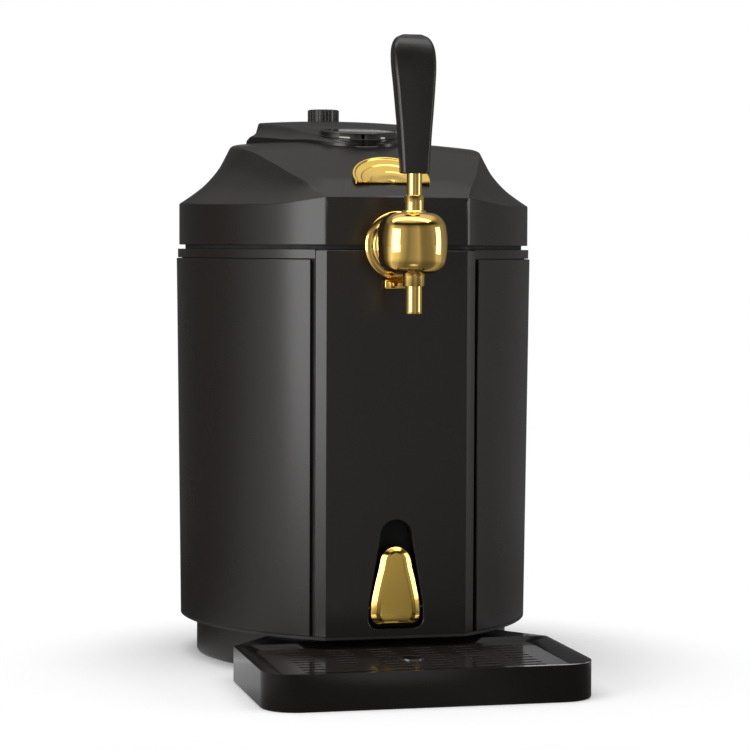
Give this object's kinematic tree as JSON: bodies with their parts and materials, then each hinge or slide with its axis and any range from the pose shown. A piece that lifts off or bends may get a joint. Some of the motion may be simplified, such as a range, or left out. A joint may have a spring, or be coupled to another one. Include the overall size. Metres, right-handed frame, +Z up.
{
  "type": "mini keg beer dispenser",
  "caption": "Countertop cooled dispenser for a mini keg, with a hinged lid, gas pressure knob, tilting front tap, drain lever and a pull-out drip tray.",
  "frame": {"origin": "centre of the foot's underside, on the keg's axis, on the surface the dispenser stands on", "axes": "+Z up, -Y towards the user (tap and drip tray side), +X to the right as seen from the front"},
  "size_m": [0.2658, 0.4079, 0.4515],
  "materials": {
    "black_gloss": "semi-gloss charcoal black moulded plastic",
    "black_plastic": "satin charcoal black moulded plastic",
    "inner_plastic": "plain grey moulded plastic",
    "gold": "polished gold-plated metal",
    "gold_plastic": "polished gold-plated plastic",
    "foam": "expanded foam, off-white",
    "aluminium": "plain drawn aluminium",
    "steel": "plain machined steel",
    "ceramic": "white ceramic faces",
    "board": "printed circuit board, green",
    "rubber": "matt black rubber",
    "clear_hose": "translucent hose plastic",
    "display": "smooth dark control face"
  },
  "bodies": {
    "housing": {"foot_base": "black_plastic", "foot_pads": "rubber", "case_screws": "steel", "power_board": "board", "bottom_plate": "black_plastic", "corner_posts": "inner_plastic", "top_deck": "black_plastic", "front_panel": "black_gloss", "lever_recess": "black_gloss", "side_panel_left": "black_gloss", "side_panel_right": "black_gloss", "rear_panel": "black_gloss", "rear_cover": "black_plastic", "cooling_liner": "aluminium", "insulation_jacket": "foam", "floor_insulation": "foam", "cold_block": "aluminium", "peltier_module": "ceramic", "heat_sink": "aluminium", "fan_frame": "black_plastic", "power_inlet": "black_plastic", "hinge_bracket": "steel", "hinge_pin": "steel", "tap_bracket": "steel", "tap_rosette": "gold", "tap_shank": "steel", "shank_nut": "steel", "tap_lock_tab": "gold", "tap_body": "gold", "tap_nozzle": "gold", "beer_hose": "clear_hose", "keg_coupler": "inner_plastic", "coupler_dock": "inner_plastic", "drain_valve_housing": "inner_plastic", "drain_lever_pin": "steel", "drain_lever_spring": "steel", "drain_tube": "clear_hose"},
    "lid": {"lid_shell": "black_gloss", "lid_liner": "inner_plastic", "gas_bay": "inner_plastic", "lid_gasket": "rubber", "top_hood": "black_plastic", "control_bezel": "black_gloss", "control_disc": "display", "control_board": "board", "regulator_body": "steel", "latch_pin": "steel"},
    "latch": {"lid_latch": "gold_plastic", "latch_yoke": "black_plastic"},
    "sleeve": {"cartridge_sleeve": "inner_plastic"},
    "knob": {"regulator_knob": "black_plastic"},
    "lever": {"tap_lever": "gold", "tap_handle": "black_gloss"},
    "plunger": {"valve_plunger": "steel", "plunger_seal": "rubber"},
    "fan": {"fan_rotor": "black_plastic"},
    "tray": {"drip_tray": "black_gloss"},
    "grille": {"drip_grille": "black_gloss"},
    "drain_handle": {"drain_lever": "gold_plastic"},
    "drain_valve": {"drain_plug": "inner_plastic"}
  },
  "joints": [
    {"name": "lid_hinge", "type": "hinge", "parent": "housing", "child": "lid", "pos_m": [0, 0.137, 0.306], "axis": [-1, 0, 0], "range_deg": [0, 95]},
    {"name": "latch_press", "type": "hinge", "parent": "lid", "child": "latch", "pos_m": [0, -0.124, 0.3445], "axis": [1, 0, 0], "range_deg": [0, 5]},
    {"name": "sleeve_bayonet", "type": "hinge", "parent": "lid", "child": "sleeve", "pos_m": [0, 0.034, 0.363], "axis": [0, 1, 0], "range_deg": [0, 90]},
    {"name": "regulator_turn", "type": "hinge", "parent": "lid", "child": "knob", "pos_m": [0, 0.106, 0.4095], "axis": [0, 0, 1], "range_deg": [0, 270]},
    {"name": "tap_lever", "type": "hinge", "parent": "housing", "child": "lever", "pos_m": [0, -0.19, 0.331], "axis": [1, 0, 0], "range_deg": [-15, 25]},
    {"name": "valve_slide", "type": "slide", "parent": "housing", "child": "plunger", "axis": [0, 1, 0], "range_m": [-0.006, 0.0096]},
    {"name": "fan_spin", "type": "hinge", "parent": "housing", "child": "fan", "pos_m": [0, 0.139, 0.17], "axis": [0, 1, 0], "continuous": true},
    {"name": "tray_slide", "type": "slide", "parent": "housing", "child": "tray", "axis": [0, -1, 0], "range_m": [0, 0.12]},
    {"name": "grille_lift", "type": "slide", "parent": "tray", "child": "grille", "axis": [0, 0, 1], "range_m": [0, 0.006]},
    {"name": "drain_press", "type": "hinge", "parent": "housing", "child": "drain_handle", "pos_m": [0, -0.137, 0.05], "axis": [1, 0, 0], "range_deg": [0, 25]},
    {"name": "drain_valve_lift", "type": "slide", "parent": "housing", "child": "drain_valve", "axis": [0, 0, 1], "range_m": [0, 0.0058], "stiffness_N_per_m": 30, "springref_m": -0.004}
  ],
  "couplings": [
    {"joint": "valve_slide", "follows": "tap_lever", "m_per_rad": 0.0215},
    {"joint": "drain_press", "follows": "drain_valve_lift", "rad_per_m": 75.2}
  ]
}
